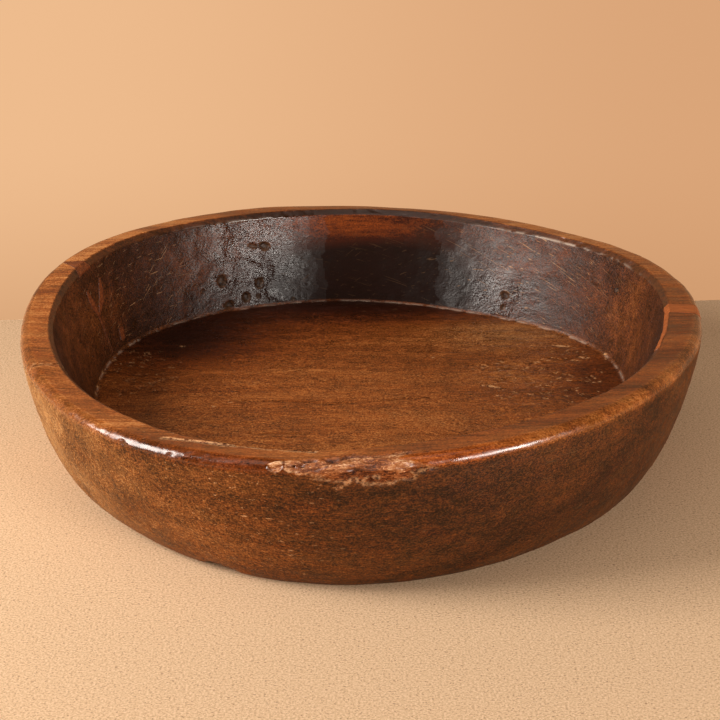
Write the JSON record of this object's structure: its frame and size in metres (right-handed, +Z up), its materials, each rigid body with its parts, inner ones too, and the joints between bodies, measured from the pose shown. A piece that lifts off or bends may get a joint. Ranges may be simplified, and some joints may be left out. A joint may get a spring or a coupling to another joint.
{
  "type": "carved wooden bowl",
  "caption": "Wide, thick-walled wooden dish bowl carved from one block, with a flat rim, a flat floor and old splits filled in.",
  "frame": {"origin": "under the middle of the rim, on the surface that the bowl stands on", "axes": "+Z up, +X to the right along the grain of the wood, -Y towards the splintered side of the rim"},
  "size_m": [0.5188, 0.5212, 0.1154],
  "materials": {
    "bowl_wood": "dark hand-polished hardwood with worn edges",
    "fill_wood": "dull orange-brown filler or let-in wood"
  },
  "bodies": {
    "root": {"bowl_body": "bowl_wood", "right_rim_fill": "fill_wood", "left_rim_fill": "fill_wood", "left_split_fill": "fill_wood", "left_wall_plug": "fill_wood"}
  },
  "joints": []
}
